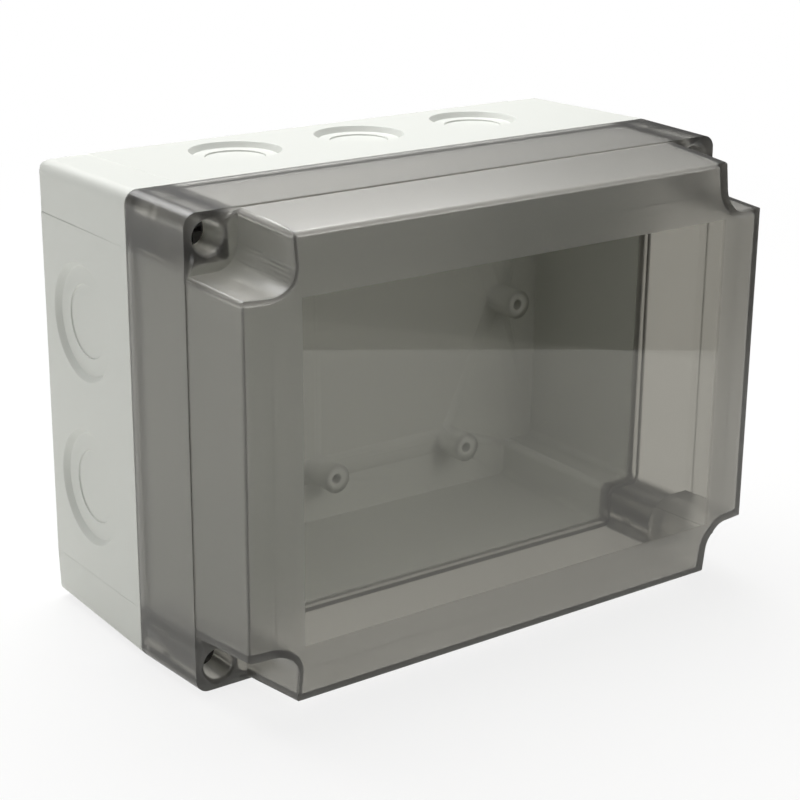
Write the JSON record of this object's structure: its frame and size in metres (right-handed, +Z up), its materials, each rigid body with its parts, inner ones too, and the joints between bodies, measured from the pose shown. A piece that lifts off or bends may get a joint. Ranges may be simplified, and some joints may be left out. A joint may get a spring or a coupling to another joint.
{
  "type": "hinged polycarbonate enclosure",
  "caption": "Deep wall-mounting enclosure: light grey moulded base with knock-outs and a deep smoked transparent cover that swings on two draw-out hinge stems.",
  "frame": {"origin": "bottom centre of the overall box, with the enclosure standing as on a wall", "axes": "+X to the right of the cover, +Y into the wall behind the back, +Z up"},
  "size_m": [0.255, 0.146, 0.1845],
  "materials": {
    "base_polycarbonate": "fine spark-eroded moulded light grey",
    "smoke_polycarbonate": "polished transparent smoke grey",
    "gasket_foam": "foamed-in polyurethane",
    "fastener_polyamide": "moulded dark grey polyamide",
    "seal_rubber": "moulded black rubber",
    "spring_steel": "plain zinc-plated"
  },
  "bodies": {
    "base": {"base_shell": "base_polycarbonate", "latch_socket_top": "fastener_polyamide", "latch_socket_bottom": "fastener_polyamide", "hinge_guide_top": "fastener_polyamide", "hinge_guide_bottom": "fastener_polyamide"},
    "hinge_stems": {"hinge_stem_top": "fastener_polyamide", "hinge_stem_bottom": "fastener_polyamide", "hinge_stop_top": "spring_steel", "hinge_stop_bottom": "spring_steel", "hinge_pin_top": "spring_steel", "hinge_pin_bottom": "spring_steel"},
    "cover": {"cover_shell": "smoke_polycarbonate", "cover_gasket": "gasket_foam", "hinge_head_top": "fastener_polyamide", "hinge_head_bottom": "fastener_polyamide", "hinge_seal_top": "seal_rubber", "hinge_seal_bottom": "seal_rubber", "hinge_knuckle_top": "fastener_polyamide", "hinge_knuckle_bottom": "fastener_polyamide"},
    "latch_carrier_top": {"latch_seal_top": "seal_rubber", "latch_clip_top": "spring_steel"},
    "latch_screw_top": {"latch_screw_top": "fastener_polyamide"},
    "latch_carrier_bottom": {"latch_seal_bottom": "seal_rubber", "latch_clip_bottom": "spring_steel"},
    "latch_screw_bottom": {"latch_screw_bottom": "fastener_polyamide"}
  },
  "joints": [
    {"name": "hinge_draw", "type": "slide", "parent": "base", "child": "hinge_stems", "axis": [0, -1, 0], "range_m": [0, 0.027]},
    {"name": "cover_swing", "type": "hinge", "parent": "hinge_stems", "child": "cover", "pos_m": [0.1165, 0.0103, 0.09225], "axis": [0, 0, 1], "range_deg": [0, 110]},
    {"name": "latch_top_lift", "type": "slide", "parent": "cover", "child": "latch_carrier_top", "axis": [0, -1, 0], "range_m": [0, 0.008]},
    {"name": "latch_top_turn", "type": "hinge", "parent": "latch_carrier_top", "child": "latch_screw_top", "pos_m": [-0.1165, -0.017, 0.174], "axis": [0, -1, 0], "range_deg": [0, 720]},
    {"name": "latch_bottom_lift", "type": "slide", "parent": "cover", "child": "latch_carrier_bottom", "axis": [0, -1, 0], "range_m": [0, 0.008]},
    {"name": "latch_bottom_turn", "type": "hinge", "parent": "latch_carrier_bottom", "child": "latch_screw_bottom", "pos_m": [-0.1165, -0.017, 0.0105], "axis": [0, -1, 0], "range_deg": [0, 720]}
  ],
  "couplings": [
    {"joint": "hinge_draw", "follows": "cover_swing", "m_per_rad": 0.014},
    {"joint": "latch_top_turn", "follows": "latch_top_lift", "rad_per_m": 1570.7},
    {"joint": "latch_bottom_turn", "follows": "latch_bottom_lift", "rad_per_m": 1570.7}
  ]
}
